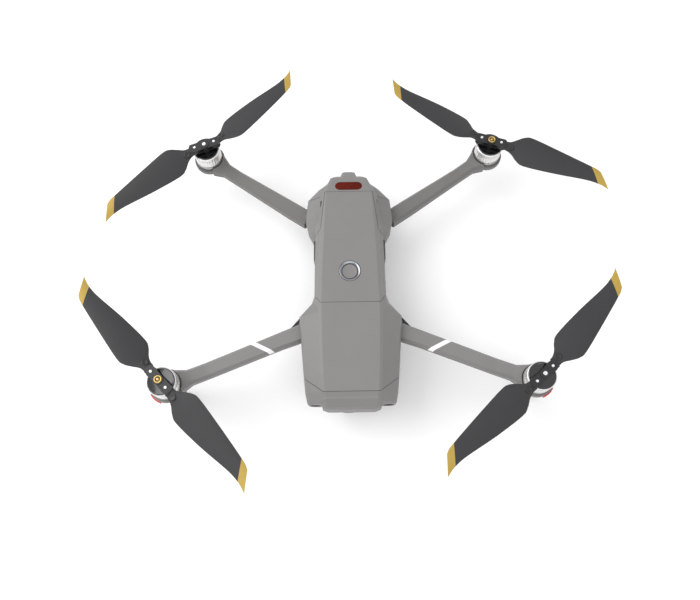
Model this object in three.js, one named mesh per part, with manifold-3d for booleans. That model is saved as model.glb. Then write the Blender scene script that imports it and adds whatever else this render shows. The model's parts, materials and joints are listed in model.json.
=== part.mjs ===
// Folding camera quadcopter, open for flight.
// Millimetres. +Z up, +Y to the tail, +X to the right of a viewer who faces the nose.
// The origin is the centre of the flat belly. left is the -X side, right is the +X side.
import * as THREE from 'three';
import { mergeVertices } from 'three/addons/utils/BufferGeometryUtils.js';
import Module from 'manifold-3d';

const wasm = await Module();
wasm.setup();

// ---- driving dimensions ----
const gap = 0.3;
const groundZ = -20;
const frontMotor = { x: 151.5, y: -110.5, propZ: 63 };
const rearMotor = { x: 129.6, y: 106.2, propZ: 49.6 };
const frontHinge = { x: 35, y: -61 };
const rearHinge = { x: 37, y: 45, z: 18 };
const rearHingeAxis = new THREE.Vector3(0.904, -0.415, -0.091).normalize();
const deckZ = 21;
const splitZ = 24;
const batteryFront = -46;
const batteryBack = 56;
const bayBack = -75;
const bladeHingeRadius = 9;
const motorRadius = 12;
const padRadius = 13.9;
const discRadius = 11;
const overTop = 80;
const pastTail = 90;
const pastNose = -150;
const pastSide = 60;

const colour = {
  shell: [0x96948f, 0.55, 0.1],
  shellDark: [0x5b5a58, 0.6, 0.1],
  black: [0x18181a, 0.45, 0.1],
  blade: [0x3f3f42, 0.5, 0.05],
  silver: [0xc8c8c8, 0.3, 0.9],
  glass: [0x100c0c, 0.1, 0.2],
  red: [0x6e1a14, 0.2, 0.1],
  board: [0x1f5a34, 0.6, 0.1],
};

const model = new THREE.Group();

// ---- solids ----
function toSolid(geometry) {
  const bare = geometry.index ? geometry.toNonIndexed() : geometry.clone();
  bare.deleteAttribute('normal');
  bare.deleteAttribute('uv');
  const merged = mergeVertices(bare, 1e-4);
  return new wasm.Manifold(new wasm.Mesh({
    numProp: 3,
    vertProperties: new Float32Array(merged.attributes.position.array),
    triVerts: new Uint32Array(merged.index.array),
  }));
}

function toGeometry(solid) {
  const mesh = solid.getMesh();
  const geometry = new THREE.BufferGeometry();
  geometry.setAttribute('position', new THREE.BufferAttribute(mesh.vertProperties, 3));
  geometry.setIndex(new THREE.BufferAttribute(mesh.triVerts, 1));
  geometry.computeVertexNormals();
  return geometry;
}

function add(name, solid, [hex, roughness, metalness]) {
  const material = new THREE.MeshStandardMaterial({ color: hex, roughness, metalness });
  const mesh = new THREE.Mesh(toGeometry(solid), material);
  mesh.name = name;
  model.add(mesh);
  return solid;
}

function block(x0, x1, y0, y1, z0, z1) {
  const geometry = new THREE.BoxGeometry(x1 - x0, y1 - y0, z1 - z0);
  geometry.translate((x0 + x1) / 2, (y0 + y1) / 2, (z0 + z1) / 2);
  return toSolid(geometry);
}

// A flat shape carried straight up from z0 to z1.
function raised(shape, z0, z1, y = 0) {
  const settings = { depth: z1 - z0, bevelEnabled: false, curveSegments: 6 };
  const geometry = new THREE.ExtrudeGeometry(shape, settings);
  geometry.translate(0, y, z0);
  return toSolid(geometry);
}

// The same from a plan outline, a list of [x, y].
function prism(outline, z0, z1) {
  return raised(new THREE.Shape(outline.map(([x, y]) => new THREE.Vector2(x, y))), z0, z1);
}

// A lathed solid about the Z line through (x, y). The profile lists [radius, z], on the axis at both ends.
function turned(profile, x = 0, y = 0, sides = 24) {
  const geometry = new THREE.LatheGeometry(profile.map(([r, z]) => new THREE.Vector2(r, z)), sides);
  geometry.rotateX(Math.PI / 2);
  geometry.translate(x, y, 0);
  return toSolid(geometry);
}

function rod(from, to, radius, sides = 20) {
  const start = new THREE.Vector3(...from);
  const along = new THREE.Vector3(...to).sub(start);
  const geometry = new THREE.CylinderGeometry(radius, radius, along.length(), sides);
  geometry.translate(0, along.length() / 2, 0);
  const turn = new THREE.Quaternion();
  turn.setFromUnitVectors(new THREE.Vector3(0, 1, 0), along.clone().normalize());
  geometry.applyQuaternion(turn);
  geometry.translate(start.x, start.y, start.z);
  return toSolid(geometry);
}

// A skin over rings of points: each ring is convex and has the same number of points.
function loft(rings) {
  const count = rings[0].length;
  const points = rings.flat().flatMap((p) => [p.x, p.y, p.z]);
  const index = [];
  for (let r = 0; r < rings.length - 1; r += 1) {
    for (let i = 0; i < count; i += 1) {
      const a = r * count + i;
      const b = r * count + ((i + 1) % count);
      index.push(a, b, b + count, a, b + count, a + count);
    }
  }
  const last = (rings.length - 1) * count;
  for (let i = 1; i < count - 1; i += 1) {
    index.push(0, i + 1, i);
    index.push(last, last + i, last + i + 1);
  }
  const geometry = new THREE.BufferGeometry();
  geometry.setAttribute('position', new THREE.Float32BufferAttribute(points, 3));
  geometry.setIndex(index);
  const solid = toSolid(geometry);
  if (solid.volume() > 0) return solid;
  geometry.setIndex(index.reverse());
  return toSolid(geometry);
}

function union(solids) {
  return solids.reduce((whole, next) => whole.add(next));
}

function mirrored(outline) {
  return [...outline, ...outline.map(([x, y]) => [-x, y]).reverse()];
}

function moved(solid, matrix) {
  const geometry = toGeometry(solid);
  geometry.applyMatrix4(matrix);
  if (matrix.determinant() < 0) geometry.setIndex([...geometry.index.array].reverse());
  return toSolid(geometry);
}

// Turns a solid made about the origin, with its length along +X, to an angle in degrees and moves it.
function place(solid, x, y, z, degrees) {
  const turn = new THREE.Matrix4().makeRotationZ(THREE.MathUtils.degToRad(degrees));
  return moved(solid, turn.setPosition(x, y, z));
}

function flipped(solid) {
  return moved(solid, new THREE.Matrix4().makeScale(-1, 1, 1));
}

function angleTo(from, to) {
  return THREE.MathUtils.radToDeg(Math.atan2(to.y - from.y, to.x - from.x));
}

// The outline grown outwards by a distance.
function grown(outline, distance) {
  const area = THREE.ShapeUtils.area(outline.map(([x, y]) => new THREE.Vector2(x, y)));
  const outward = distance * Math.sign(area);
  return outline.map(([x, y], i) => {
    const [px, py] = outline.at(i - 1);
    const [nx, ny] = outline[(i + 1) % outline.length];
    const before = new THREE.Vector2(y - py, px - x).normalize();
    const after = new THREE.Vector2(ny - y, x - nx).normalize();
    const corner = before.clone().add(after);
    corner.multiplyScalar(outward / (1 + before.dot(after)));
    return [x + corner.x, y + corner.y];
  });
}

// ---- body ----
// One ring of the body: the flat top, the side's upper and lower corner, and the flat bottom.
function bodyRing([y, topHalf, topZ, sideHalf, upperZ, lowerZ, bottomHalf, bottomZ]) {
  const right = [
    [bottomHalf, bottomZ],
    [sideHalf, lowerZ],
    [sideHalf, upperZ - 2],
    [sideHalf - 1.2, upperZ + 1],
    [topHalf + 1.5, topZ - 1],
    [topHalf - 1, topZ],
  ];
  const left = right.map(([x, z]) => [-x, z]).reverse();
  return [...right, ...left].map(([x, z]) => new THREE.Vector3(x, y, z));
}

// Columns: y, top half width, top z, side half width, upper z, lower z, bottom half width, bottom z.
const mainBody = loft([
  [-127.6, 19.5, 45, 35, 35, 28, 31, splitZ],
  [-126.2, 21.5, 47, 36.6, 36.5, 28, 32, splitZ],
  [-119, 22.6, 51, 38, 39.5, 27, 34, splitZ],
  [-106, 23.5, 53.8, 39.2, 42.4, 27, 36, splitZ],
  [-93, 24, 55.2, 40.2, 44.1, 27, 37, splitZ],
  [-75, 24.5, 56, 41.6, 44.8, 27, 37, splitZ],
  [-55, 25, 56.5, 43, 45, 27, 38, splitZ],
  [-44, 25, 56.3, 32.5, 47, 27, 30, splitZ - 1],
  [-37.5, 24.8, 56.2, 30.3, 47.5, 27, 28, deckZ - 3],
  [-10, 24, 56, 30, 47.5, 27, 28, deckZ - 3],
  [18, 22.7, 55.6, 29.6, 46, 27, 28, deckZ - 3],
  [41, 21.5, 55, 30, 43, 27, 28, deckZ - 3],
  [batteryBack, 20.5, 54, 27.5, 41, 27, 25, deckZ - 3],
  [72, 14.5, 49.5, 18.5, 42, 24, 16, deckZ - 3],
  [75, 12, 46, 16, 40, 26, 14, deckZ - 3],
].map(bodyRing));
// The middle of the nose stands forward of its two sides.
const snout = loft([
  [-132.4, 17.5, 40, 21, 37, 28, 19, splitZ],
  [-131, 20, 43, 24, 39, 27, 22, splitZ],
  [-125, 22, 48.3, 25.5, 42, 27, 24, splitZ],
  [-112, 22.6, 51, 25.5, 43, 27, 24, splitZ],
].map(bodyRing));
const upperBody = mainBody.add(snout);
const lowerBody = loft([
  [bayBack - 4, 26, splitZ - 1, 27, splitZ - 4, 12, 22, 5],
  [bayBack, 27, splitZ, 28.5, splitZ - 3, 9, 24, 0],
  [-50, 27, splitZ, 28.5, splitZ - 3, 7, 24, 0],
  [40, 27, splitZ, 28.5, splitZ - 3, 7, 24, 0],
  [58, 24, splitZ, 25, splitZ - 3, 9, 19, 0],
  [72, 15, splitZ, 16.5, splitZ - 3, 14, 12, 8],
].map(bodyRing));

const batteryPlan = mirrored([
  [25, batteryFront], [33, -33], [33, 15], [24.5, 22], [20.8, batteryBack],
]);
const nosePlan = mirrored([[52, pastNose], [52, -97], [23, -119.5]]);

// The battery's bay in the body, and the nose's seat in the hood.
const batterySpace = prism(grown(batteryPlan, gap), deckZ, overTop);
const noseSpace = prism(grown(nosePlan, gap), splitZ - 1, overTop);

// Each front arm's root swings inside a pocket between the hood's roof and its floor.
const pocketZ = [26.3, 38.8];
const pocketPlan = [
  [24.3, -64], [26.5, -69], [31, -72.8], [70, -89], [70, -25], [28.3, -25], [28.3, -52], [24.3, -58],
];
const pocket = prism(pocketPlan, ...pocketZ);
const pockets = pocket.add(flipped(pocket));

const hoodPlan = mirrored([[pastSide, pastNose], [pastSide, -35], [33, -33], [25, batteryFront]]);
const hood = upperBody.intersect(prism(hoodPlan, splitZ + gap, overTop));
add('upper_shell', hood.subtract(noseSpace).subtract(batterySpace).subtract(pockets), colour.shell);

const eyeX = 30.4;
const eyeZ = 30.4;
const eyeFace = -126.5;
const eyeBack = -123;
const eyeRadius = 3.9;
const eyeSockets = union([-eyeX, eyeX].map((x) => (
  rod([x, pastNose, eyeZ], [x, eyeBack + gap, eyeZ], eyeRadius + 0.4)
)));
const nose = upperBody.intersect(prism(nosePlan, splitZ + gap, overTop));
add('nose_fascia', nose.subtract(eyeSockets), colour.shell);

['left', 'right'].forEach((side, i) => {
  const x = [-eyeX, eyeX][i];
  const lens = rod([x, eyeFace, eyeZ], [x, eyeBack, eyeZ], eyeRadius);
  add(`front_vision_${side}`, lens, colour.glass);
});

// ---- hips: the rear arms' shoulders ----
const hipPlan = [
  [20, 14], [32, 17], [36.2, 25], [38.3, 35], [38.3, 43], [36.6, 57], [27, 65.5], [17, 70],
];
const roofZ = 27.4;
const flangeRadius = 8.2;
const flangeHalf = 3;
const hingeCentre = new THREE.Vector3(rearHinge.x, rearHinge.y, rearHinge.z);

function alongHinge(distance) {
  return hingeCentre.clone().addScaledVector(rearHingeAxis, distance).toArray();
}

// A cylinder on the right rear hinge's axis, between two distances from the hinge's centre.
function hingeRod(from, to, radius, sides) {
  return rod(alongHinge(from), alongHinge(to), radius, sides);
}

// Everything outboard of the hip's face and under the hip's roof is left open for the arm's flange.
const outsideHip = hingeRod(-flangeHalf - gap, 60, 60, 4);
const underRoof = block(-150, 150, -80, 150, -60, roofZ);
const hipRoot = prism(hipPlan, 3, roofZ + 2).subtract(outsideHip.intersect(underRoof));
// The roof slopes up from the hip's outer edge to the body. Columns: y, outer x, edge z, inner x, top z.
const hipRoof = loft([
  [13, 27, 31, 24, 41],
  [17, 32, 32, 25.5, 42.5],
  [25, 36.2, 33, 27.5, 44.5],
  [35, 38.3, 33.6, 27.5, 45.5],
  [43, 38.3, 33.6, 26, 45.5],
  [57, 36.6, 34.4, 22, 46],
  [65.5, 27.5, 37, 17.5, 45.5],
  [71, 19.5, 38.5, 14.5, 44],
].map(([y, outer, edge, inner, top]) => [
  [12, roofZ], [outer, roofZ], [outer, edge], [outer - 1.2, edge + 2.2], [inner, top], [12, top],
].map(([x, z]) => new THREE.Vector3(x, y, z))));
const hip = hipRoot.add(hipRoof);

// ---- tail ----
const tailBump = loft([
  [72, 6.5, 49, 8.5, 46, 36, 7, 34],
  [80, 4, 45, 5.8, 43, 38, 5, 37],
].map(bodyRing));
const tailRange = block(-pastSide, pastSide, batteryBack + gap, pastTail, deckZ, overTop);
const tailCut = block(-pastSide, pastSide, batteryBack, pastTail, deckZ - gap, overTop);
const windowHalf = 7.4;
const windowRadius = 4.2;
const windowY = 62.5;
// A flat pill, long in X, about the middle of the tail's sloped top.
function pill(radius, z0, z1) {
  const shape = new THREE.Shape();
  shape.absarc(windowHalf, 0, radius, -Math.PI / 2, Math.PI / 2);
  shape.absarc(-windowHalf, 0, radius, Math.PI / 2, Math.PI * 1.5);
  return raised(shape, z0, z1, windowY);
}
const windowFloor = 47.5;
const windowWell = pill(windowRadius + gap, windowFloor, overTop);
const rearEye = { half: 12.7, y: 71.3, low: 24.8, high: 33.2 };
const rearEyeWell = block(
  -rearEye.half - gap, rearEye.half + gap, rearEye.y - gap, pastTail, rearEye.low - gap, rearEye.high + gap,
);
const tail = union([upperBody, tailBump, hip, flipped(hip)]).intersect(tailRange);
add('tail_cap', tail.subtract(windowWell).subtract(rearEyeWell), colour.shell);
add('top_ir_window', pill(windowRadius, windowFloor + gap, overTop).intersect(upperBody), colour.red);
const rearEyeBlock = block(-rearEye.half, rearEye.half, rearEye.y, pastTail, rearEye.low, rearEye.high);
add('rear_vision_window', upperBody.intersect(rearEyeBlock), colour.glass);

// ---- lower shell ----
const rearPinRadius = 2.5;
const rearPinDepth = 13.4;
const pinHole = hingeRod(-rearPinDepth - 0.6, 0, rearPinRadius + gap);
const boardBay = block(-25, 25, bayBack + 4, 50, 4, 50);

const flapY = [-22, -8];
const flapZ = [9, 17];
const flapWell = block(27.3, 40, ...flapY, ...flapZ);
const sensorWell = block(-10, 10, -66, -30, -1, 2);
// The belly is notched over each tail foot, so the flat face of the belly ends round the foot.
const footNotch = { x: 8, y: 36, z: 1 };
const notch = block(footNotch.x, 40, footNotch.y, 80, -1, footNotch.z);

const lowerRange = block(-pastSide, pastSide, pastNose, pastTail, -5, splitZ - gap);
const waistRange = block(-pastSide, pastSide, -33, pastTail, -5, overTop);
const lowerBlank = union([
  lowerBody.intersect(lowerRange), upperBody.intersect(waistRange), hip, flipped(hip),
]);
const lowerHollows = union([
  batterySpace, tailCut, boardBay, pinHole, flipped(pinHole), flapWell, flipped(flapWell), sensorWell,
  notch, flipped(notch),
]);
add('lower_shell', lowerBlank.subtract(lowerHollows), colour.shell);

// ---- battery, lifted out straight up ----
const buttonY = -18.7;
const buttonRadius = 6.6;
const buttonZ = 55.2;
const ringRadius = 9;
const coverZ = 50;
const latchY = [-3.6, 13.8];
const latchWell = block(27.2, 40, latchY[0] - gap, latchY[1] + gap, 29.4, 44.4);
const batterySolid = upperBody.intersect(prism(batteryPlan, deckZ + gap, overTop));
const coverRange = block(-pastSide, pastSide, -80, pastTail, coverZ + gap / 2, overTop);
const caseRange = block(-pastSide, pastSide, -80, pastTail, 0, coverZ - gap / 2);
const wellFloor = coverZ - 4;
const buttonWell = turned([
  [0, wellFloor], [ringRadius + gap, wellFloor], [ringRadius + gap, overTop], [0, overTop],
], 0, buttonY);
const caseHollows = union([latchWell, flipped(latchWell), buttonWell]);
add('battery_cover', batterySolid.intersect(coverRange).subtract(buttonWell), colour.shell);
add('battery_case', batterySolid.intersect(caseRange).subtract(caseHollows), colour.shell);
const ringLow = coverZ - 0.6;
const ringBore = buttonRadius + gap;
add('power_button_ring', turned([
  [ringBore, ringLow], [ringRadius, ringLow], [ringRadius, buttonZ + 0.9],
  [ringRadius - 0.7, buttonZ + 1.3], [ringBore, buttonZ + 0.3], [ringBore, ringLow],
], 0, buttonY, 32), colour.silver);
const buttonLow = coverZ - 2.4;
add('power_button', turned([
  [0, buttonLow], [buttonRadius, buttonLow], [buttonRadius, buttonZ - 0.4],
  [buttonRadius - 0.8, buttonZ], [0, buttonZ],
], 0, buttonY, 32), colour.shell);

const latch = block(29, 30.9, latchY[0], latchY[1], 29.7, 44.1);
add('battery_latch_right', latch, colour.shellDark);
add('battery_latch_left', flipped(latch), colour.shellDark);

// ---- inside the lower shell ----
add('belly_cover', block(-20, 20, -66, 40, 4.3, 5.6), colour.shellDark);
add('main_board', block(-23, 23, -69, 6, 8, 9.6), colour.board);
const finCount = 7;
const finPitch = 5.6;
const fins = Array.from({ length: finCount }, (unused, i) => {
  const left = -18 + i * finPitch;
  return block(left, left + 1.6, -66, -28, 11, 19);
});
add('heat_sink', union([block(-19, 19.2, -67, -27, 9.9, 11.5), ...fins]), colour.silver);
const fanY = 26;
const fanRadius = 13;
const fanTop = 17;
const vaneCount = 7;
const vanes = Array.from({ length: vaneCount }, (unused, i) => {
  const vane = block(3, fanRadius, -0.8, 0.8, 9, fanTop);
  return place(vane, 0, fanY, 0, (i * 360) / vaneCount);
});
const fanDisc = turned([
  [0, 8], [fanRadius, 8], [fanRadius, 9.2], [5, 9.2], [5, fanTop], [0, fanTop],
], 0, fanY);
add('cooling_fan', union([fanDisc, ...vanes]), colour.black);

// ---- front arms ----
const frontAngle = angleTo(frontHinge, frontMotor);
const frontReach = Math.hypot(frontMotor.x - frontHinge.x, frontMotor.y - frontHinge.y);
const frontArmZ = { low: 27, high: 38, padHigh: 39.7 };
const knuckleRadius = 9;
const pinRadius = 3;

// One ring across an arm, at a distance from its hinge, with bevelled upper edges.
function armRing([along, front, rear, low, high]) {
  const bevel = Math.min(2.5, (high - low) / 4);
  const side = Math.min(2, (rear - front) / 5);
  return [
    [front + side, low], [rear - side, low], [rear, low + bevel], [rear, high - bevel],
    [rear - side, high], [front + side, high], [front, high - bevel], [front, low + bevel],
  ].map(([across, z]) => new THREE.Vector3(along, across, z));
}

const frontBeam = loft([
  [0, -9, 5.2, frontArmZ.low, frontArmZ.high],
  [14, -9.3, 5.2, frontArmZ.low, frontArmZ.high],
  [28, -8.4, 5.4, frontArmZ.low + 0.5, frontArmZ.high],
  [frontReach - 34, -7.2, 5.8, frontArmZ.low + 1.6, frontArmZ.high + 1],
  [frontReach - 19, -6.8, 6, frontArmZ.low + 2, frontArmZ.high + 3],
  [frontReach - 10, -9.5, 9.5, frontArmZ.low + 2.5, frontArmZ.padHigh + 3.4],
].map(armRing));
// The round pad under a motor, tapered underneath.
function motorPad(reach, low, high) {
  return turned([
    [0, low], [padRadius - 4, low], [padRadius - 1.4, low + 3.5], [padRadius, low + 6],
    [padRadius, high], [0, high],
  ], reach, 0, 32);
}
const frontPad = motorPad(frontReach, 29.5, frontArmZ.padHigh);
const frontKnuckle = turned([
  [0, frontArmZ.low], [knuckleRadius, frontArmZ.low], [knuckleRadius, frontArmZ.high], [0, frontArmZ.high],
]);
const frontPinHole = turned([[0, 20], [pinRadius + gap, 20], [pinRadius + gap, 60], [0, 60]]);
const frontPin = turned([[0, 26.6], [pinRadius, 26.6], [pinRadius, 38.5], [0, 38.5]]);
// The arm's end rises as a collar round the motor, with room for the bell to turn in it.
function motorRoom(reach, padHigh) {
  const room = motorRadius + 0.9;
  return turned([[0, padHigh], [room, padHigh], [room, overTop], [0, overTop]], reach, 0, 32);
}

// A piece of a ring about (x, 0), between two radii and two angles in degrees.
function ringPiece(x, inner, outer, from, to, z0, z1) {
  const [a, b] = [from, to].map(THREE.MathUtils.degToRad);
  const shape = new THREE.Shape();
  shape.absarc(x, 0, outer, a, b, false);
  shape.absarc(x, 0, inner, b, a, true);
  return raised(shape, z0, z1);
}
const lampArc = [-46, -2];
const lampZ = [33.4, 37.6];
const lampWell = ringPiece(
  frontReach, padRadius - 0.9, padRadius + 8,
  lampArc[0] - 1, lampArc[1] + 1, lampZ[0] - gap, lampZ[1] + gap,
);
const lamp = ringPiece(frontReach, padRadius - 0.6, padRadius + 1.1, ...lampArc, ...lampZ);
const frontArm = union([frontBeam, frontPad, frontKnuckle]).subtract(frontPinHole)
  .subtract(motorRoom(frontReach, frontArmZ.padHigh)).subtract(lampWell);

// A leg ring lies flat at a height, between two limits along X and two along Y.
function legRing([z, near, far, front, rear]) {
  return [
    [near, front + 1], [near + 1, front], [far - 1, front], [far, front + 1],
    [far, rear - 1], [far - 1, rear], [near + 1, rear], [near, rear - 1],
  ].map(([along, across]) => new THREE.Vector3(along, across, z));
}
const frontLeg = loft([
  [groundZ, frontReach - 3.5, frontReach + 4.5, -3.5, 3.5],
  [groundZ + 5, frontReach - 5, frontReach + 6, -4.6, 4.6],
  [8, frontReach - 7, frontReach + 7.5, -5.6, 5.6],
  [29.2, frontReach - 9, frontReach + 9, -6.8, 6.8],
].map(legRing));

// ---- rear arms ----
const rearAngle = angleTo(rearHinge, rearMotor);
const rearReach = Math.hypot(rearMotor.x - rearHinge.x, rearMotor.y - rearHinge.y);
const rearPadHigh = 26.3;
const rearBeam = loft([
  [0, -7.2, 7.2, 11.5, 24.5],
  [20, -7.2, 7, 12, 24.8],
  [rearReach - 32, -5.8, 5.8, 14.4, 25.6],
  [rearReach - 19, -5.8, 5.8, 15.5, 27.5],
  [rearReach - 10, -9.5, 9.5, 16, rearPadHigh + 3.6],
].map(armRing));
const rearPad = motorPad(rearReach, 16, rearPadHigh);
const rearFlange = hingeRod(-flangeHalf, flangeHalf + 1, flangeRadius);
const rearBore = hingeRod(-10, 1, rearPinRadius + gap);
const rearPin = hingeRod(-rearPinDepth, 0.6, rearPinRadius);

// The tail feet stand under the back of the belly.
const tailFoot = loft([
  [groundZ, 12, 17.5, 47, 52],
  [groundZ + 4, 11, 18.5, 45, 53],
  [footNotch.z - gap, 9.5, 20, 38, 54],
].map(legRing));
const insideHip = hingeRod(-80, -flangeHalf, 80, 4);

[-1, 1].forEach((sign) => {
  const side = sign < 0 ? 'left' : 'right';
  const keep = (solid) => (sign < 0 ? flipped(solid) : solid);
  const front = (solid) => keep(place(solid, frontHinge.x, frontHinge.y, 0, frontAngle));

  add(`front_arm_${side}`, front(frontArm), colour.shell);
  add(`front_arm_pin_${side}`, front(frontPin), colour.silver);
  add(`front_leg_${side}`, front(frontLeg), colour.shell);
  add(`front_led_${side}`, front(lamp), colour.red);

  const straight = rearBeam.add(rearPad).subtract(motorRoom(rearReach, rearPadHigh));
  const beam = place(straight, rearHinge.x, rearHinge.y, 0, rearAngle).subtract(insideHip);
  add(`rear_arm_${side}`, keep(beam.add(rearFlange).subtract(rearBore)), colour.shell);
  add(`rear_arm_pin_${side}`, keep(rearPin), colour.silver);
  add(`tail_foot_${side}`, keep(tailFoot), colour.shellDark);
});

// ---- motors, hubs and blades; heights below are counted from the plane of the blade screws ----
const motorBase = [
  [0, -23], [motorRadius - 0.8, -23], [motorRadius, -22], [motorRadius, -18.7], [0, -18.7],
];
const bellTop = -5.3;
const motorBell = [
  [0, -18.3], [motorRadius, -18.3], [motorRadius, bellTop - 1.3], [discRadius, bellTop], [0, bellTop],
];
const slot = { low: -1.3, high: 1.5 };
const bladeStations = [
  [15, -4.2, 5.6, 12], [20, -4.4, 8.4, 14], [28, -8.6, 14, 16], [36, -10.3, 15.5, 15],
  [62, -6.4, 14.3, 11], [91, -0.6, 13, 8], [98, 0, 11.6, 7], [105.5, 0, 5.4, 6], [111.5, -1.2, 0.2, 6],
];
const bladeThickness = 1.5;

// A blade points along +X from its screw. Its leading edge is on the +Y side and stands higher, and the
// trailing edge reaches further out at the tip. Columns: radius, trailing edge, leading edge, pitch.
function bladeRing([radius, trailing, leading, pitch]) {
  const climb = Math.tan(THREE.MathUtils.degToRad(pitch));
  const middle = (leading + trailing) / 2;
  const chord = leading - trailing;
  const thick = Math.min(bladeThickness, chord / 4);
  return [
    [trailing, -0.25], [leading - chord * 0.3, -thick / 2], [leading, 0],
    [leading - chord * 0.3, thick / 2], [trailing, 0.25],
  ].map(([across, lift]) => new THREE.Vector3(radius, across, lift + (across - middle) * climb + 0.1));
}
const bladeRoot = prism([
  [4.8, -2], [5.9, -3.6], [9, -4.6], [16, -4], [16, 4], [9, 4.6], [5.9, 3.6], [4.8, 2],
], slot.low + gap, slot.high - gap);
const bladeSolid = bladeRoot.add(loft(bladeStations.map(bladeRing)));

function hubPlate(z0, z1) {
  const half = bladeHingeRadius;
  return prism([
    [-half - 3.5, -4], [half + 3.5, -4], [half + 5, -2], [half + 5, 2], [half + 3.5, 4],
    [-half - 3.5, 4], [-half - 5, 2], [-half - 5, -2],
  ], z0, z1);
}
const stemLow = bellTop + gap;
const hubSolid = union([
  hubPlate(-3, slot.low), hubPlate(slot.high, 2.7), turned([[0, stemLow], [4, stemLow], [4, 3.4], [0, 3.4]]),
]);

// heading is the hub's turn, and swings are how far blade a and blade b are turned about their own screws.
const rotors = [
  { name: 'front_left', x: -1, motor: frontMotor, heading: 134, swings: [-6, -5], hand: 1 },
  { name: 'front_right', x: 1, motor: frontMotor, heading: 41.5, swings: [11, 2], hand: -1 },
  { name: 'rear_left', x: -1, motor: rearMotor, heading: 20, swings: [28, 23], hand: -1 },
  { name: 'rear_right', x: 1, motor: rearMotor, heading: 162.5, swings: [-22, -9], hand: 1 },
];
const fromScrew = moved(bladeSolid, new THREE.Matrix4().makeTranslation(-bladeHingeRadius, 0, 0));
const handed = { 1: fromScrew, '-1': moved(fromScrew, new THREE.Matrix4().makeScale(1, -1, 1)) };
rotors.forEach(({ name, x, motor, heading, swings, hand }) => {
  const at = (solid, degrees) => place(solid, x * motor.x, motor.y, motor.propZ, degrees);
  add(`${name}_motor_base`, at(turned(motorBase), 0), colour.silver);
  add(`${name}_motor_bell`, at(turned(motorBell, 0, 0, 32), 0), colour.silver);
  add(`${name}_prop_hub`, at(hubSolid, heading), colour.black);
  ['a', 'b'].forEach((letter, i) => {
    const blade = place(handed[hand], bladeHingeRadius, 0, 0, swings[i]);
    add(`${name}_blade_${letter}`, at(blade, heading + 180 * i), colour.blade);
  });
});

// ---- gimbal and camera ----
const yawAxisY = -96;
const cameraY = -115.3;
const cameraZ = 4;
const plateZ = [20.8, 23.7];
const gimbalPlate = union([block(-19, 19, -90, -81, ...plateZ), block(-9, 9, -102, -89, ...plateZ)]);
add('gimbal_plate', gimbalPlate, colour.black);
add('gimbal_yaw_arm', union([
  turned([[0, 12.6], [6.2, 12.6], [6.2, 20.4], [0, 20.4]], 0, yawAxisY),
  block(-6, 6, yawAxisY + 1.5, yawAxisY + 7.5, -4, 14),
  rod([0, yawAxisY + 7.5, cameraZ], [0, yawAxisY + 1, cameraZ], 8),
]), colour.shellDark);
add('gimbal_roll_arm', union([
  rod([0, yawAxisY + 0.6, cameraZ], [0, yawAxisY - 1.4, cameraZ], 8),
  block(-5, 24, yawAxisY - 1.6, yawAxisY + 0.4, -3, 8.6),
  block(21, 24, cameraY - 6, yawAxisY, -3, 8.6),
  rod([21, cameraY, cameraZ], [26.5, cameraY, cameraZ], 8.5),
]), colour.shellDark);

function cameraRing(x, half) {
  const edge = half * 0.72;
  return [
    [edge, -half], [half, -edge], [half, edge], [edge, half],
    [-edge, half], [-half, edge], [-half, -edge], [-edge, -half],
  ].map(([y, z]) => new THREE.Vector3(x, cameraY + y, cameraZ + z));
}
const lensX = -3;
// A round along the lens's axis, between two distances ahead of the camera's middle.
function lensRod(from, to, radius) {
  return rod([lensX, cameraY - from, cameraZ], [lensX, cameraY - to, cameraZ], radius, 28);
}
const cameraCase = loft([
  cameraRing(-19.5, 10), cameraRing(-17.5, 11.6), cameraRing(18.7, 11.6), cameraRing(20.6, 10),
]);
const cameraBody = cameraCase.add(lensRod(0, 13.2, 8.6)).subtract(lensRod(11.2, 20, 7.4));
add('camera_body', cameraBody, colour.shell);
add('camera_lens', lensRod(11.5, 12.6, 7), colour.glass);

// ---- port covers and downward sensors ----
const flap = block(27.6, 28.7, flapY[0] + gap, flapY[1] - gap, flapZ[0] + gap, flapZ[1] - gap);
add('port_cover_right', flap, colour.shellDark);
add('port_cover_left', flipped(flap), colour.shellDark);
add('downward_sensor_panel', block(-9.7, 9.7, -65.7, -30.3, 0.4, 1.7), colour.black);

export default model;
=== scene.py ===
"""Looks of a folding camera quadcopter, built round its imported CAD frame. Metres, +Z up, nose at -Y."""
import json
import math

import bmesh
import bpy
from mathutils import Matrix, Vector


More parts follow.
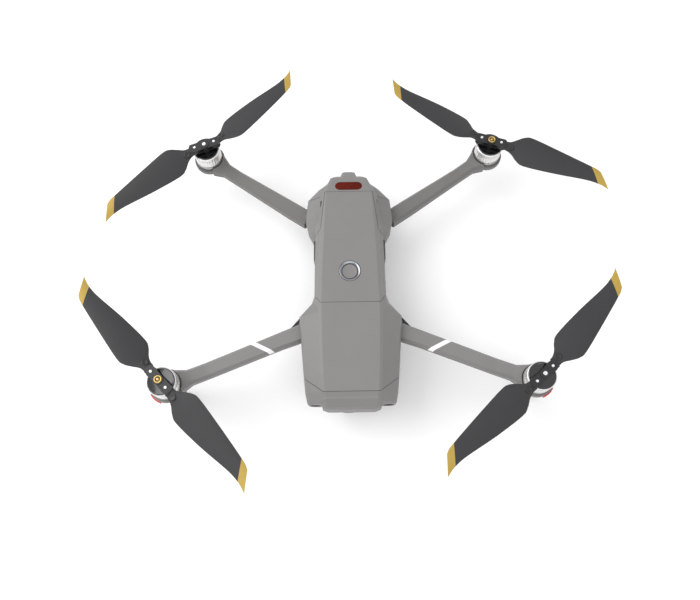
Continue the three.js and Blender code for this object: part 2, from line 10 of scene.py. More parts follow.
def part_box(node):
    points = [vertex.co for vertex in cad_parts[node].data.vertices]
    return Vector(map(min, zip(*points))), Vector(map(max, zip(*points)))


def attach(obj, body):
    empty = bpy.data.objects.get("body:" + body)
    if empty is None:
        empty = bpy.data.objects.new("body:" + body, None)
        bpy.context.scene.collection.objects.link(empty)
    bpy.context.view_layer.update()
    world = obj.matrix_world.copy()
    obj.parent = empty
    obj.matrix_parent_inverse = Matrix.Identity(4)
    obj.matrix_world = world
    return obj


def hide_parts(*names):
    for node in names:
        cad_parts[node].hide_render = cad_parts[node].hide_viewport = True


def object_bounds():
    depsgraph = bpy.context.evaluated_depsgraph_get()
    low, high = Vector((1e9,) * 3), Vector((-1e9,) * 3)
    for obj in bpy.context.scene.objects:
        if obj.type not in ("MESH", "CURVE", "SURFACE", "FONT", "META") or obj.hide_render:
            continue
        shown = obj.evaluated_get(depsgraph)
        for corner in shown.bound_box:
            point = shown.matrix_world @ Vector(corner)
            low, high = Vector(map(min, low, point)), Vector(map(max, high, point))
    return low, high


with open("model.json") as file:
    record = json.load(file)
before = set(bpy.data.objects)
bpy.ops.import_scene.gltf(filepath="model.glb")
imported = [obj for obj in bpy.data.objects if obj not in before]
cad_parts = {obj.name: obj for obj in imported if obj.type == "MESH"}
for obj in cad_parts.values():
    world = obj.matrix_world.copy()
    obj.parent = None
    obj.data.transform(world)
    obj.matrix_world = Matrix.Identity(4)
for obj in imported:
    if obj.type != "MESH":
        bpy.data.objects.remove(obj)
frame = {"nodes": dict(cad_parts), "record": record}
cad_bounds = [list(corner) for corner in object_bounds()]
nodes = frame["nodes"]
record = frame["record"]
slot_of = {part["node"]: part["material_slot"] for part in record["subparts"]}
joints = {joint["name"]: joint for joint in record["behaviour"]["joints"]}

MM = 0.001
SIDES = (("left", -1), ("right", 1))


def middle(node_name):
    """The middle of a CAD node's box."""
    low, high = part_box(node_name)
    return (Vector(low) + Vector(high)) / 2


# ---- materials ----
SLOW_NOISE_SCALE = 45.0
SLOW_NOISE_DETAIL = 4.0
FINE_NOISE_DETAIL = 3.0
RAMP_ENDS = (0.3, 0.7)
SMOOTHEST = 0.02
GRAIN_HEIGHT = 0.0002


def material(name, colour, rough, metal=0.0, mottle=0.05, grain=900.0, bump=0.15, coat=0.0, spread=0.06,
             shine=0.5):
    """A procedural finish: slow and fine colour noise, wandering roughness and a fine moulded grain.

    mottle is how far the colour strays, grain the fine noise's scale, bump the grain's strength, coat the
    clear coat's weight, spread how far the roughness strays, and shine the strength of the plain reflection.
    """
    mat = bpy.data.materials.new(name)
    mat.use_nodes = True
    tree = mat.node_tree
    link = tree.links.new
    shader = tree.nodes["Principled BSDF"]
    place = tree.nodes.new("ShaderNodeTexCoord")
    slow = tree.nodes.new("ShaderNodeTexNoise")
    slow.inputs["Scale"].default_value = SLOW_NOISE_SCALE
    slow.inputs["Detail"].default_value = SLOW_NOISE_DETAIL
    fine = tree.nodes.new("ShaderNodeTexNoise")
    fine.inputs["Scale"].default_value = grain
    fine.inputs["Detail"].default_value = FINE_NOISE_DETAIL
    link(place.outputs["Object"], slow.inputs["Vector"])
    link(place.outputs["Object"], fine.inputs["Vector"])
    ramp = tree.nodes.new("ShaderNodeValToRGB")
    ramp.color_ramp.elements[0].position = RAMP_ENDS[0]
    ramp.color_ramp.elements[1].position = RAMP_ENDS[1]
    ramp.color_ramp.elements[0].color = (*[c * (1 - mottle) for c in colour], 1)
    ramp.color_ramp.elements[1].color = (*[min(1, c * (1 + mottle)) for c in colour], 1)
    blend = tree.nodes.new("ShaderNodeMix")
    blend.inputs["Factor"].default_value = 0.5
    link(slow.outputs["Fac"], blend.inputs["A"])
    link(fine.outputs["Fac"], blend.inputs["B"])
    link(blend.outputs["Result"], ramp.inputs["Fac"])
    link(ramp.outputs["Color"], shader.inputs["Base Color"])
    sheen = tree.nodes.new("ShaderNodeMapRange")
    sheen.inputs["To Min"].default_value = max(SMOOTHEST, rough - spread)
    sheen.inputs["To Max"].default_value = min(1.0, rough + spread)
    link(slow.outputs["Fac"], sheen.inputs["Value"])
    link(sheen.outputs["Result"], shader.inputs["Roughness"])
    relief = tree.nodes.new("ShaderNodeBump")
    relief.inputs["Strength"].default_value = bump
    relief.inputs["Distance"].default_value = GRAIN_HEIGHT
    link(fine.outputs["Fac"], relief.inputs["Height"])
    link(relief.outputs["Normal"], shader.inputs["Normal"])
    shader.inputs["Metallic"].default_value = metal
    shader.inputs["Coat Weight"].default_value = coat
    shader.inputs["Specular IOR Level"].default_value = shine
    return mat


# One finish for each material slot of the CAD nodes.
finish = {
    "grey_shell": material("grey_shell", (0.186, 0.18, 0.176), 0.5, grain=2600.0, bump=0.16),
    "dark_grey_plastic": material(
        "dark_grey_plastic", (0.05, 0.049, 0.048), 0.55, mottle=0.08, grain=2200.0, bump=0.15),
    "motor_base_metal": material(
        "motor_base_metal", (0.62, 0.61, 0.6), 0.35, metal=0.85, grain=1500.0, bump=0.06),
    "motor_bell_metal": material(
        "motor_bell_metal", (0.74, 0.73, 0.72), 0.3, metal=0.6, grain=1500.0, bump=0.05),
    "hub_plastic": material(
        "hub_plastic", (0.012, 0.012, 0.013), 0.35, mottle=0.1, grain=1800.0, bump=0.12),
    "blade_plastic": material(
        "blade_plastic", (0.03, 0.029, 0.031), 0.5, mottle=0.1, grain=3000.0, bump=0.25, shine=0.35),
    "pin_steel": material("pin_steel", (0.5, 0.5, 0.5), 0.25, metal=1.0, grain=1500.0, bump=0.05),
    "lens_glass": material(
        "lens_glass", (0.006, 0.006, 0.009), 0.05, mottle=0.2, grain=300.0, bump=0.0, coat=1.0, spread=0.01),
    "infrared_window": material(
        "infrared_window", (0.1, 0.007, 0.002), 0.35, mottle=0.35, grain=500.0, bump=0.02, spread=0.05,
        shine=0.1),
    "red_lamp": material(
        "red_lamp", (0.62, 0.02, 0.02), 0.3, mottle=0.15, grain=700.0, bump=0.05, coat=0.2),
    "ring_metal": material(
        "ring_metal", (0.3, 0.31, 0.34), 0.22, metal=1.0, mottle=0.04, grain=1500.0, bump=0.03),
    "circuit_board": material(
        "circuit_board", (0.02, 0.13, 0.06), 0.4, mottle=0.2, grain=600.0, bump=0.1),
    "heat_sink_metal": material(
        "heat_sink_metal", (0.55, 0.55, 0.55), 0.4, metal=1.0, mottle=0.06, grain=1500.0, bump=0.1),
    "black_plastic": material(
        "black_plastic", (0.014, 0.014, 0.015), 0.5, mottle=0.1, grain=2000.0, bump=0.15),
}
# A darker copy of the shell grey for the rear arms: painted shade for the shadow they lie in, low under the
# body.
REAR_ARM_PAINTED_SHADE = material("rear_arm_painted_shade", (0.145, 0.139, 0.133), 0.5, grain=2600.0, bump=0.16)
GLOSS_BLACK = material(
    "gloss_black", (0.006, 0.006, 0.007), 0.1, mottle=0.1, bump=0.0, coat=0.8, spread=0.03)
GOLD = material("gold_paint", (0.4, 0.27, 0.045), 0.45, metal=0.15, mottle=0.07, grain=2500.0)
BRONZE = material("bronze", (0.55, 0.38, 0.14), 0.25, metal=1.0, mottle=0.08, grain=1500.0, bump=0.05)
WHITE = material("white_paint", (0.85, 0.85, 0.84), 0.5, mottle=0.03, grain=2500.0, bump=0.1)
SCREW = material("screw_steel", (0.75, 0.75, 0.77), 0.2, metal=1.0, grain=1500.0, bump=0.05)
RUBBER = material("rubber", (0.02, 0.02, 0.02), 0.8, mottle=0.1, grain=1800.0, bump=0.3)
PALE_LENS = material("lamp_lens", (0.55, 0.55, 0.5), 0.25, mottle=0.1, bump=0.05, coat=0.5)


# ---- carried-over CAD nodes ----
# Edge rounding in millimetres, for a material slot or for all the others.
BEVEL_WIDTHS = {
    "hub_plastic": 0.35,
    "pin_steel": 0.2,
    "red_lamp": 0.2,
    "circuit_board": 0.1,
    "heat_sink_metal": 0.15,
}
PLAIN_BEVEL = 0.4


def soften(piece, width, angle=28.0, segments=3):
    """Rounds the edges sharper than an angle by a width in millimetres."""
    bevel = piece.modifiers.new("edge", "BEVEL")
    bevel.width = width * MM
    bevel.segments = segments
    bevel.limit_method = "ANGLE"
    bevel.angle_limit = math.radians(angle)
    bevel.harden_normals = True
    weld = piece.modifiers.new("normals", "WEIGHTED_NORMAL")
    weld.keep_sharp = True


for name, node in nodes.items():
    slot = slot_of[name]
    node.data.materials.clear()
    # The rear arms take the darker grey, which is painted shade.
    node.data.materials.append(REAR_ARM_PAINTED_SHADE if name.startswith("rear_arm_") else finish[slot])
    for face in node.data.polygons:
        face.use_smooth = True
    soften(node, BEVEL_WIDTHS.get(slot, PLAIN_BEVEL))


# ---- mesh helpers ----
def piece_from(bm, name, mats, body, smooth=True):
    """Turns a bmesh into a shown piece that rides on a body."""
    bmesh.ops.recalc_face_normals(bm, faces=bm.faces)
    mesh = bpy.data.meshes.new(name)
    bm.to_mesh(mesh)
    bm.free()
    for mat in mats:
        mesh.materials.append(mat)
    for face in mesh.polygons:
        face.use_smooth = smooth
    piece = bpy.data.objects.new(name, mesh)
    bpy.context.scene.collection.objects.link(piece)
    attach(piece, body)
    return piece


def rings_to_mesh(rings, hollow=False):
    """A skin over rings of points. Its ends are closed by a face, or joined to each other when hollow."""
    bm = bmesh.new()
    rows = [[bm.verts.new(point) for point in ring] for ring in rings]
    count = len(rows[0])
    uppers = rows[1:] + rows[:1] if hollow else rows[1:]
    for below, above in zip(rows, uppers):
        for i in range(count):
            j = (i + 1) % count
            bm.faces.new((below[i], below[j], above[j], above[i]))
    if not hollow:
        bm.faces.new(rows[0][::-1])
        bm.faces.new(rows[-1])
    return bm


def lathe(profile, sides=48, radius_at=None, hollow=False):
    """Rings about Z from (radius, z) pairs in millimetres; radius_at can vary a radius round the turn."""
    rings = []
    for radius, z in profile:
        ring = []
        for i in range(sides):
            turn = 2 * math.pi * i / sides
            r = radius_at(radius, z, turn) if radius_at else radius
            ring.append(Vector((r * math.cos(turn), r * math.sin(turn), z)) * MM)
        rings.append(ring)
    return rings_to_mesh(rings, hollow)


def at(bm, matrix):
    """Moves a bmesh by a matrix and gives it back."""
    bmesh.ops.transform(bm, matrix=matrix, verts=bm.verts)
    return bm


def facing(spot, normal, along=(0, 1, 0)):
    """Places +Z on a normal and +X near a direction, at a spot in millimetres."""
    z_axis = Vector(normal).normalized()
    x_axis = Vector(along)
    x_axis = (x_axis - z_axis * x_axis.dot(z_axis)).normalized()
    turn = Matrix((x_axis, z_axis.cross(x_axis), z_axis)).transposed().to_4x4()
    return Matrix.Translation(Vector(spot) * MM) @ turn


CORNER_STEPS = 5


def rounded(half_x, half_y, radius, inset=0.0):
    """The outline of a rectangle with round corners, drawn in by an inset."""
    outline = []
    for quarter, (side_x, side_y) in enumerate(((1, 1), (-1, 1), (-1, -1), (1, -1))):
        for step in range(CORNER_STEPS + 1):
            turn = math.radians(90 * quarter + 90 * step / CORNER_STEPS)
            x = side_x * (half_x - radius) + (radius - inset) * math.cos(turn)
            y = side_y * (half_y - radius) + (radius - inset) * math.sin(turn)
            outline.append((x, y))
    return outline


PLATE_SINK = 0.4
PLATE_SLOPE = 0.2
PLATE_SLOPE_SHARE = 0.3


def plate(half_x, half_y, radius, rise):
    """A rounded plate that stands a little proud of a surface, with a softened top edge."""
    slope = min(PLATE_SLOPE, radius * PLATE_SLOPE_SHARE)
    rings = []
    for z, inset in ((-PLATE_SINK, 0), (rise * 0.5, 0), (rise, slope)):
        rings.append([Vector((x, y, z)) * MM for x, y in rounded(half_x, half_y, radius, inset)])
    return rings_to_mesh(rings)


# ---- rotors ----
# Columns: trailing edge (out, across), leading edge (out, across), pitch in degrees, thickness.
# out is measured from the motor's axis, with the blade straight out from its hub.
BLADE_KEYS = [
    ((12.5, -4.2), (12.5, 4.2), 6, 2.2),
    ((17, -4.0), (17, 5.4), 12, 1.9),
    ((22, -5.4), (22, 9.8), 15, 1.8),
    ((28, -8.8), (27, 13.6), 16, 1.7),
    ((36, -10.4), (34, 15.3), 15, 1.6),
    ((62, -6.6), (58, 14.7), 11, 1.3),
    ((90, -0.8), (80.5, 13.7), 8, 1.0),
    ((101.5, 0.2), (90, 13.1), 7, 0.9),
    ((107.5, -0.4), (95.5, 12.6), 6.5, 0.8),
    ((111.8, -1.4), (99.6, 11.2), 6.5, 0.6),
]
# The gold tip starts at this row.
GOLD_KEY = 7
STEPS_BETWEEN = 5
SECTION_POINTS = 9
# A section's half thickness at its edges and inside them, and its arch, as shares of its thickness.
EDGE_SHARE = 0.06
BODY_SHARE = 0.9
CROWN_SHARE = 0.42
BLADE_LIFT = 0.1
# The round blade end under the screw, as (radius, z), and a round boss beyond it, whose darker black is
# painted shade.
BLADE_ROOT = [(4.2, -0.95), (4.5, -0.7), (4.5, 0.9), (4.2, 1.15)]
ROOT_SHADE_BOSS_OUT = 18.2
ROOT_SHADE_BOSS_TILT = math.radians(12)
# A blade's far tip lies this much behind the line that the blade is drawn along.
TIP_LEAD = math.radians(0.67)
# Each rotor's hand: 1 has its blades' leading edges on +Y when they point along +X.
ROTORS = {"front_left": 1, "front_right": -1, "rear_left": -1, "rear_right": 1}
BELL_RADIUS = 12.0
BELL_FLUTES = 30
FLUTE_DEPTH = 0.4
FLUTE_SPAN = (-16.2, -8.0)
RIM_WIDTH = 0.1


def spline(keys, at_time):
    """Catmull-Rom through equal-length tuples of numbers."""
    i = min(int(at_time), len(keys) - 2)
    t = at_time - i
    a = keys[max(0, i - 1)]
    b = keys[i]
    c = keys[i + 1]
    d = keys[min(len(keys) - 1, i + 2)]
    return [
        0.5 * (2 * q + (r - p) * t + (2 * p - 5 * q + 4 * r - s) * t * t + (3 * q - p - 3 * r + s) * t ** 3)
        for p, q, r, s in zip(a, b, c, d)
    ]


def add_into(bm, other):
    """Adds a second bmesh to the first and frees it."""
    mesh = bpy.data.meshes.new("joined")
    other.to_mesh(mesh)
    other.free()
    bm.from_mesh(mesh)
    bpy.data.meshes.remove(mesh)


def blade_section(values, hand):
    """One closed ring round the blade, thin at both edges, pitched, and arched in the middle."""
    trail_x, trail_y, lead_x, lead_y, pitch, thick = values
    climb = math.tan(math.radians(pitch))
    upper, lower = [], []
    for k in range(SECTION_POINTS + 1):
        share = (1 - math.cos(math.pi * k / SECTION_POINTS)) / 2
        out = lead_x + (trail_x - lead_x) * share
        across = lead_y + (trail_y - lead_y) * share
        half = thick * (EDGE_SHARE + BODY_SHARE * math.sqrt(share) * (1 - share))
        crown = CROWN_SHARE * thick * math.sin(math.pi * share)
        lift = (across - (lead_y + trail_y) / 2) * climb + BLADE_LIFT + crown
        upper.append(Vector((out, across * hand, lift + half)) * MM)
        lower.append(Vector((out, across * hand, lift - half)) * MM)
    return upper + lower[::-1]


def blade_mesh(hand, hinge):
    """One blade along +X from its hub, leading edge on +Y for hand 1. The gold tip is material 1."""
    keys = [(*trail, *lead, pitch, thick) for trail, lead, pitch, thick in BLADE_KEYS]
    steps = (len(keys) - 1) * STEPS_BETWEEN
    sections = [blade_section(spline(keys, step / STEPS_BETWEEN), hand) for step in range(steps + 1)]
    bm = rings_to_mesh(sections)
    bm.faces.ensure_lookup_table()
    round_count = 2 * (SECTION_POINTS + 1)
    first_gold = GOLD_KEY * STEPS_BETWEEN * round_count
    for index, face in enumerate(bm.faces):
        face.material_index = 1 if first_gold <= index < steps * round_count else 0
    # The last face closes the tip.
    bm.faces[-1].material_index = 1
    root = lathe(BLADE_ROOT, 32)
    add_into(bm, at(root, Matrix.Translation(Vector((hinge, 0, 0)))))
    return bm


def flute(radius, z, turn):
    """The bell's side is fluted between its two plain rims."""
    if radius < BELL_RADIUS - RIM_WIDTH or not FLUTE_SPAN[0] < z < FLUTE_SPAN[1]:
        return radius
    return radius - FLUTE_DEPTH * (0.5 + 0.5 * math.cos(BELL_FLUTES * turn))


# Turned pieces of a rotor: (radius, z) in millimetres from the joint's own point.
BELL = [
    (10.8, -18.3), (11.8, -18.3), (12, -18), (12, -16.4), (12, -16), (12, -8.4), (12, -8),
    (12, -6.6), (11.8, -6.1), (11.3, -5.9), (11, -5.8),
]
CAP = [(11, -6.1), (11.2, -5.6), (11, -5.2), (10.4, -5), (9.7, -5.25), (9.2, -5.3), (4.2, -5.3)]
BLADE_SCREW = [(1.25, 2.5), (1.25, 3.2), (1.0, 3.45), (0.55, 3.45), (0.4, 3.2)]
# The boss on the blade: its shape is drawn, and its darker black is painted shade.
ROOT_SHADE_BOSS = [(3.1, 0.9), (3.0, 1.55), (2.7, 1.8), (2.0, 1.85), (1.6, 1.7)]
RING_NUT = [(3.2, 2.9), (3.25, 3.8), (2.95, 4.15), (2.3, 4.15), (1.95, 3.8), (1.9, 2.9)]
SHAFT_END = [(1.3, 3.0), (1.3, 3.7), (1.0, 4.0), (0.4, 4.05)]
CENTRE_SCREW = [(1.75, 2.9), (1.75, 3.9), (1.4, 4.2), (0.8, 4.2), (0.6, 3.95)]

for rotor, hand in ROTORS.items():
    centre = Vector(joints[f"{rotor}_motor_spin"]["pos_m"])
    body = f"{rotor}_rotor"
    for blade in ("a", "b"):
        name = f"{rotor}_blade_{blade}"
        hinge_spot = Vector(joints[f"{name}_swing"]["pos_m"])
        hinge = (hinge_spot - centre).to_2d().length
        # The blade's own turn about its screw is read from where its far tip is.
        reaches = [vert.co - hinge_spot for vert in nodes[name].data.vertices]
        tip = max(reaches, key=lambda reach: reach.to_2d().length)
        turn = math.atan2(tip.y, tip.x) + hand * TIP_LEAD
        from_screw = Matrix.Translation(hinge_spot) @ Matrix.Rotation(turn, 4, "Z")
        bm = at(blade_mesh(hand, hinge), from_screw @ Matrix.Translation(Vector((-hinge, 0, 0))))
        skin = piece_from(bm, f"{name}_skin", [finish["blade_plastic"], GOLD], name)
        soften(skin, width=0.15, angle=40.0, segments=2)
        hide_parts(name)
        # The boss near the blade's root, in the hub's darker black as painted shade.
        shade_boss_spot = Vector((ROOT_SHADE_BOSS_OUT * MM - hinge, 0, 0))
        tilt = Matrix.Rotation(ROOT_SHADE_BOSS_TILT * hand, 4, "X")
        shade_boss = at(lathe(ROOT_SHADE_BOSS, 32), from_screw @ Matrix.Translation(shade_boss_spot) @ tilt)
        piece_from(shade_boss, f"{name}_root_shade_boss", [finish["hub_plastic"]], name)
        screw = at(lathe(BLADE_SCREW, 24), Matrix.Translation(hinge_spot))
        piece_from(screw, f"{name}_screw", [SCREW], body)
    on_axis = Matrix.Translation(centre)
    bell = piece_from(at(lathe(BELL, 240, flute), on_axis), f"{rotor}_bell_skin",
                      [finish["motor_bell_metal"]], body)
    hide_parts(f"{rotor}_motor_bell")
    piece_from(at(lathe(CAP, 96), on_axis), f"{rotor}_bell_cap", [GLOSS_BLACK], body)
    if hand > 0:
        piece_from(at(lathe(RING_NUT, 48, hollow=True), on_axis), f"{rotor}_ring_nut", [BRONZE], body)
        piece_from(at(lathe(SHAFT_END, 32), on_axis), f"{rotor}_shaft_end", [BRONZE], body)
    else:
        piece_from(at(lathe(CENTRE_SCREW, 32), on_axis), f"{rotor}_centre_screw", [SCREW], body)


# ---- arms ----
# The beam's straight run, at its two ends: distance along, front edge, rear edge and top.
BEAM_ROOT = (28, -8.4, 5.4, 38)
BEAM_END = (92.5, -7.2, 5.8, 39)
ALONG, FRONT_EDGE, REAR_EDGE, TOP = range(4)
EDGE_DROP = 2.5
EDGE_IN = 2.0
STRIPE_LIFT = 0.09
STRIPE_SINK = 0.3
STRIPE_HALF = 2.3
STRIPE_MIDDLE = 49.5
STRIPE_SLANT = 0.85
# The rubber sole round a front leg's foot: its size, then (z, how far it grows) from bottom to top.
SOLE_SIZE = (4.0, 3.5, 1.5)
SOLE_PAST_MOTOR = 0.5
SOLE_LEVELS = ((-20.0, 0.2), (-19.4, 0.45), (-16.6, 0.45), (-16.2, 0.1))
arm_pin = Vector(joints["front_arm_right_fold"]["pos_m"])
arm_motor = Vector(joints["front_right_motor_spin"]["pos_m"])
front_reach = (arm_pin - arm_motor).to_2d().length / MM


def on_front_arm(side, along, across, z):
    """A point of a front arm in metres, from millimetres along it, across it and up."""
    hinge = arm_pin / MM
    motor = arm_motor / MM
    way = (motor - hinge).to_2d().normalized()
    x = hinge.x + along * way.x - across * way.y
    y = hinge.y + along * way.y + across * way.x
    return Vector((x * side, y, z)) * MM


def stripe_ring(side, station):
    """Four corners of the painted stripe at one place round the arm: its skin, then its buried underside."""
    edge, inward, drop, out, rise = station
    corners = []
    for depth, ends in ((STRIPE_LIFT, (-1, 1)), (-STRIPE_SINK, (1, -1))):
        for end in ends:
            slant = (BEAM_ROOT[edge] + inward - BEAM_ROOT[REAR_EDGE]) * STRIPE_SLANT
            along = STRIPE_MIDDLE + slant + end * STRIPE_HALF
            share = (along - BEAM_ROOT[ALONG]) / (BEAM_END[ALONG] - BEAM_ROOT[ALONG])
            beam = [a + (b - a) * share for a, b in zip(BEAM_ROOT, BEAM_END)]
            across = beam[edge] + inward + out * depth
            corners.append(on_front_arm(side, along, across, beam[TOP] - drop + rise * depth))
    return corners


# Each station: the beam's edge, how far in from it, how far below the top, and the way it faces.
STRIPE_STATIONS = (
    (REAR_EDGE, 0, 7, 1, 0),
    (REAR_EDGE, 0, EDGE_DROP, 1, 0.4),
    (REAR_EDGE, -EDGE_IN, 0, 0.4, 1),
    (FRONT_EDGE, EDGE_IN, 0, -0.4, 1),
    (FRONT_EDGE, 0, EDGE_DROP, -1, 0.4),
    (FRONT_EDGE, 0, 5, -1, 0),
)
for side_name, side in SIDES:
    body = f"front_arm_{side_name}"
    rings = [stripe_ring(side, station) for station in STRIPE_STATIONS]
    piece_from(rings_to_mesh(rings), f"arm_stripe_{side_name}", [WHITE], body, smooth=False)
    rings = []
    for z, grow in SOLE_LEVELS:
        half_x, half_y, radius = SOLE_SIZE
        outline = rounded(half_x + grow, half_y + grow, radius)
        rings.append([on_front_arm(side, front_reach + SOLE_PAST_MOTOR + x, y, z) for x, y in outline])
    piece_from(rings_to_mesh(rings), f"leg_sole_{side_name}", [RUBBER], body)

# The bracket under each front arm's root, in the corner between the shoulder and the arm: its shape stands
# for the gusset there, and its black is painted shade for the shadow in that corner.
BRACKET = [(38, -50), (43.4, -49.5), (54.6, -62.4), (52, -68), (38, -66)]
BRACKET_LEVELS = ((22.5, 1.2), (25.4, 0.2), (26.2, 0.9))
for side_name, side in SIDES:
    centre = Vector((sum(x for x, _ in BRACKET), sum(y for _, y in BRACKET))) / len(BRACKET)
    rings = []
    for z, inset in BRACKET_LEVELS:
        ring = []
        for x, y in BRACKET:
            spoke = Vector((x, y)) - centre
            edge = centre + spoke * (1 - inset / spoke.length)
            ring.append(Vector((edge.x * side, edge.y, z)) * MM)
        rings.append(ring)
    # Black plastic here is painted shade.
    piece_from(rings_to_mesh(rings), f"painted_shade_bracket_{side_name}", [finish["black_plastic"]],
               "airframe", smooth=False)


# ---- power button ----
# Turned skins: (radius, z) in millimetres.
BUTTON_RING = [
    (9, 49.6), (9, 55.9), (8.75, 56.35), (8.4, 56.4), (7.3, 55.3), (6.95, 55.15), (6.9, 49.6),
]
BUTTON = [(6.55, 47.6), (6.55, 54.6), (6.3, 54.95), (5.6, 55.1), (5.2, 54.95), (2.5, 54.8)]
button_axis = Matrix.Translation(Vector((0, middle("power_button").y, 0)))
ring_skin = piece_from(at(lathe(BUTTON_RING, 96, hollow=True), button_axis), "power_ring_skin",
                       [finish["ring_metal"]], "battery")
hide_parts("power_button_ring")
button_skin = piece_from(at(lathe(BUTTON, 64), button_axis), "power_button_skin",
                         [finish["grey_shell"]], "power_button")
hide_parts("power_button")


# ---- body details ----
# A round lens of radius 1: shares of its radius, and heights in millimetres.
EYE_BEZEL = [(1, -0.3), (1, 0.15), (0.94, 0.35), (0.7, 0.3), (0.62, -0.1), (0.62, -0.3)]
EYE_GLASS = [(0.64, -0.3), (0.64, 0.0), (0.5, 0.14), (0.3, 0.24), (0.12, 0.28)]
FORWARD = (0, -1, 0)
BACKWARD = (0, 1, 0)
DOWN = (0, 0, -1)
ALONG_X = (1, 0, 0)
BLACK = [finish["black_plastic"]]


def glass_eye(name, matrix, radius, body="airframe"):
    """A round lens: a black bezel with a domed glass in it."""
    bezel = [(radius * share, z) for share, z in EYE_BEZEL]
    piece_from(at(lathe(bezel, 48, hollow=True), matrix), f"{name}_bezel", BLACK, body)
    dome = [(radius * share, z) for share, z in EYE_GLASS]
    piece_from(at(lathe(dome, 48), matrix), f"{name}_glass", [finish["lens_glass"]], body)


# Each side: a dark sensor window with two lenses, and a row of upright vents ahead of it.
SIDE_WALL = 28.5
SIDE_SENSOR = (2, 14)
SIDE_SENSOR_SIZE = (8, 3.6, 3.4, 0.35)
SIDE_EYES = (("front", -2.4), ("rear", 6.4))
SIDE_EYE_OUT = 0.5
SIDE_EYE_RADIUS = 2.4
SIDE_VENTS = 6
SIDE_VENT_START = (-58, 14.5)
SIDE_VENT_STEP = 4.6
SIDE_VENT_SIZE = (0.9, 3.8, 0.85, 0.3)
VENT_SINK = 0.1
FRONT_EYE_Y = -126.7
FRONT_EYE_RADIUS = 3.7
for side_name, side in SIDES:
    outward = (side, 0, 0)
    sensor_y, sensor_z = SIDE_SENSOR
    sensor = facing((SIDE_WALL * side, sensor_y, sensor_z), outward)
    piece_from(at(plate(*SIDE_SENSOR_SIZE), sensor), f"side_sensor_{side_name}", [GLOSS_BLACK], "airframe")
    for place, y in SIDE_EYES:
        spot = ((SIDE_WALL + SIDE_EYE_OUT) * side, y, sensor_z)
        glass_eye(f"side_eye_{side_name}_{place}", facing(spot, outward), SIDE_EYE_RADIUS)
    vent_y, vent_z = SIDE_VENT_START
    for slit in range(SIDE_VENTS):
        spot = ((SIDE_WALL - VENT_SINK) * side, vent_y + SIDE_VENT_STEP * slit, vent_z)
        vent = at(plate(*SIDE_VENT_SIZE), facing(spot, outward))
        piece_from(vent, f"side_vent_{side_name}_{slit}", BLACK, "airframe")
    eye = middle(f"front_vision_{side_name}") / MM
    eye_front = (eye.x, FRONT_EYE_Y, eye.z)
    glass_eye(f"front_eye_{side_name}", facing(eye_front, FORWARD, ALONG_X), FRONT_EYE_RADIUS)

# The belly: two eyes, two small rangers and a lamp between them, and a row of vents behind.
BELLY_EYES = (-60, -36)
BELLY_EYE = (0.2, 3.6)
BELLY_RANGERS = (-5.5, 5.5)
BELLY_RANGER = (0.3, 1.8)
BELLY_MIDDLE = -48
BELLY_LAMP_Z = 0.4
BELLY_LAMP_SIZE = (2.2, 3.2, 1.2, 0.3)
BELLY_VENTS = 7
BELLY_VENT_START = (2, 0.05)
BELLY_VENT_STEP = 4.2
BELLY_VENT_SIZE = (1.1, 9, 1.05, 0.12)
eye_z, eye_radius = BELLY_EYE
for index, y in enumerate(BELLY_EYES):
    glass_eye(f"belly_eye_{index}", facing((0, y, eye_z), DOWN), eye_radius)
ranger_z, ranger_radius = BELLY_RANGER
for index, x in enumerate(BELLY_RANGERS):
    glass_eye(f"belly_ranger_{index}", facing((x, BELLY_MIDDLE, ranger_z), DOWN), ranger_radius)
lamp = at(plate(*BELLY_LAMP_SIZE), facing((0, BELLY_MIDDLE, BELLY_LAMP_Z), DOWN))
piece_from(lamp, "belly_light", [PALE_LENS], "airframe")
vent_y, vent_z = BELLY_VENT_START
for slit in range(BELLY_VENTS):
    vent = at(plate(*BELLY_VENT_SIZE), facing((0, vent_y + BELLY_VENT_STEP * slit, vent_z), DOWN))
    piece_from(vent, f"belly_vent_{slit}", BLACK, "airframe")

# The tail: lying vents that get a little narrower upward.
TAIL_VENTS = 4
TAIL_VENT_START = (72.1, 9.6)
TAIL_VENT_STEP = 2.6
TAIL_VENT_HALF = 8
TAIL_VENT_TAPER = 0.2
TAIL_VENT_SECTION = (0.7, 0.65, 0.25)
tail_y, tail_z = TAIL_VENT_START
for slit in range(TAIL_VENTS):
    spot = (0, tail_y, tail_z + TAIL_VENT_STEP * slit)
    half = TAIL_VENT_HALF - slit * TAIL_VENT_TAPER
    vent = at(plate(half, *TAIL_VENT_SECTION), facing(spot, BACKWARD, ALONG_X))
    piece_from(vent, f"tail_vent_{slit}", BLACK, "airframe")

# The camera's lens, and the cap of its tilt motor at the roll arm's end.
LENS_SINK = 0.6
LENS_RADIUS = 6.6
TILT_CAP_X = 26.4
TILT_CAP = [
    (7.4, -0.3), (7.4, 0.2), (7.0, 0.5), (5.2, 0.5), (4.8, 0.2), (2.4, 0.2), (2.0, 0.5), (0.6, 0.5),
]
lens = middle("camera_lens") / MM
lens_front = facing((lens.x, lens.y - LENS_SINK, lens.z), FORWARD, ALONG_X)
glass_eye("camera_eye", lens_front, LENS_RADIUS, "camera")
tilt = Vector(joints["camera_tilt"]["pos_m"]) / MM
cap = at(lathe(TILT_CAP, 48), facing((TILT_CAP_X, tilt.y, tilt.z), ALONG_X))
piece_from(cap, "gimbal_tilt_cap", BLACK, "gimbal_roll")


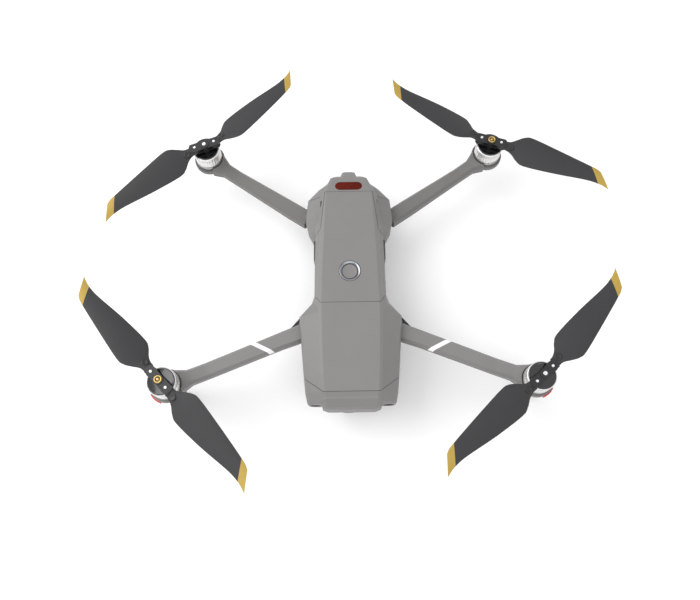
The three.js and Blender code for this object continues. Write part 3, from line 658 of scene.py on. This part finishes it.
# ---- floor, light and camera ----
FLOOR_SIZE = 4.0
FLOOR_GAP = 0.0002
FLOOR_COLOUR = (0.95, 0.95, 0.95, 1)
FLOOR_ROUGHNESS = 0.8
lowest = cad_bounds[0][2]
bm = bmesh.new()
bmesh.ops.create_grid(bm, x_segments=1, y_segments=1, size=FLOOR_SIZE)
mesh = bpy.data.meshes.new("floor")
bm.to_mesh(mesh)
bm.free()
floor = bpy.data.objects.new("floor", mesh)
bpy.context.scene.collection.objects.link(floor)
floor.location.z = lowest - FLOOR_GAP
floor_finish = bpy.data.materials.new("floor")
floor_finish.use_nodes = True
floor_shader = floor_finish.node_tree.nodes["Principled BSDF"]
floor_shader.inputs["Base Color"].default_value = FLOOR_COLOUR
floor_shader.inputs["Roughness"].default_value = FLOOR_ROUGHNESS
floor.data.materials.append(floor_finish)


def area_light(name, spot, size, power):
    """A square soft light that faces the origin. Metres and watts."""
    data = bpy.data.lights.new(name, "AREA")
    data.shape = "SQUARE"
    data.size = size
    data.energy = power
    lamp = bpy.data.objects.new(name, data)
    lamp.location = spot
    lamp.rotation_euler = (-Vector(spot)).to_track_quat("-Z", "Y").to_euler()
    bpy.context.scene.collection.objects.link(lamp)


area_light("key", spot=(-1.5, 0.4, 1.6), size=2.0, power=33)
area_light("fill", spot=(0.2, -1.0, 1.9), size=1.8, power=9)
SKY_COLOUR = (1, 1, 1, 1)
SKY_STRENGTH = 0.87
world = bpy.data.worlds.new("studio")
world.use_nodes = True
sky = world.node_tree.nodes["Background"]
sky.inputs["Color"].default_value = SKY_COLOUR
sky.inputs["Strength"].default_value = SKY_STRENGTH
bpy.context.scene.world = world
bpy.context.scene.view_settings.view_transform = "Standard"

# The camera looks down on the drone from ahead of its nose, almost level from side to side.
ELEVATION = math.radians(72)
ROLL = math.radians(-0.89)
TARGET = Vector((-0.0003, -0.0468, 0.063))
DISTANCE = 0.547
LENS_LENGTH = 34.5
SENSOR_WIDTH = 36
NEAREST = 0.01
back = Vector((0, -math.cos(ELEVATION), math.sin(ELEVATION)))
flat_up = Vector((0, math.sin(ELEVATION), math.cos(ELEVATION)))
right = Vector((1, 0, 0)) * math.cos(ROLL) + flat_up * math.sin(ROLL)
up = flat_up * math.cos(ROLL) - Vector((1, 0, 0)) * math.sin(ROLL)
camera_data = bpy.data.cameras.new("camera")
camera_data.lens = LENS_LENGTH
camera_data.sensor_width = SENSOR_WIDTH
camera_data.clip_start = NEAREST
camera = bpy.data.objects.new("camera", camera_data)
camera_turn = Matrix((right, up, back)).transposed().to_4x4()
camera.matrix_world = Matrix.Translation(TARGET + back * DISTANCE) @ camera_turn
bpy.context.scene.collection.objects.link(camera)
bpy.context.scene.camera = camera
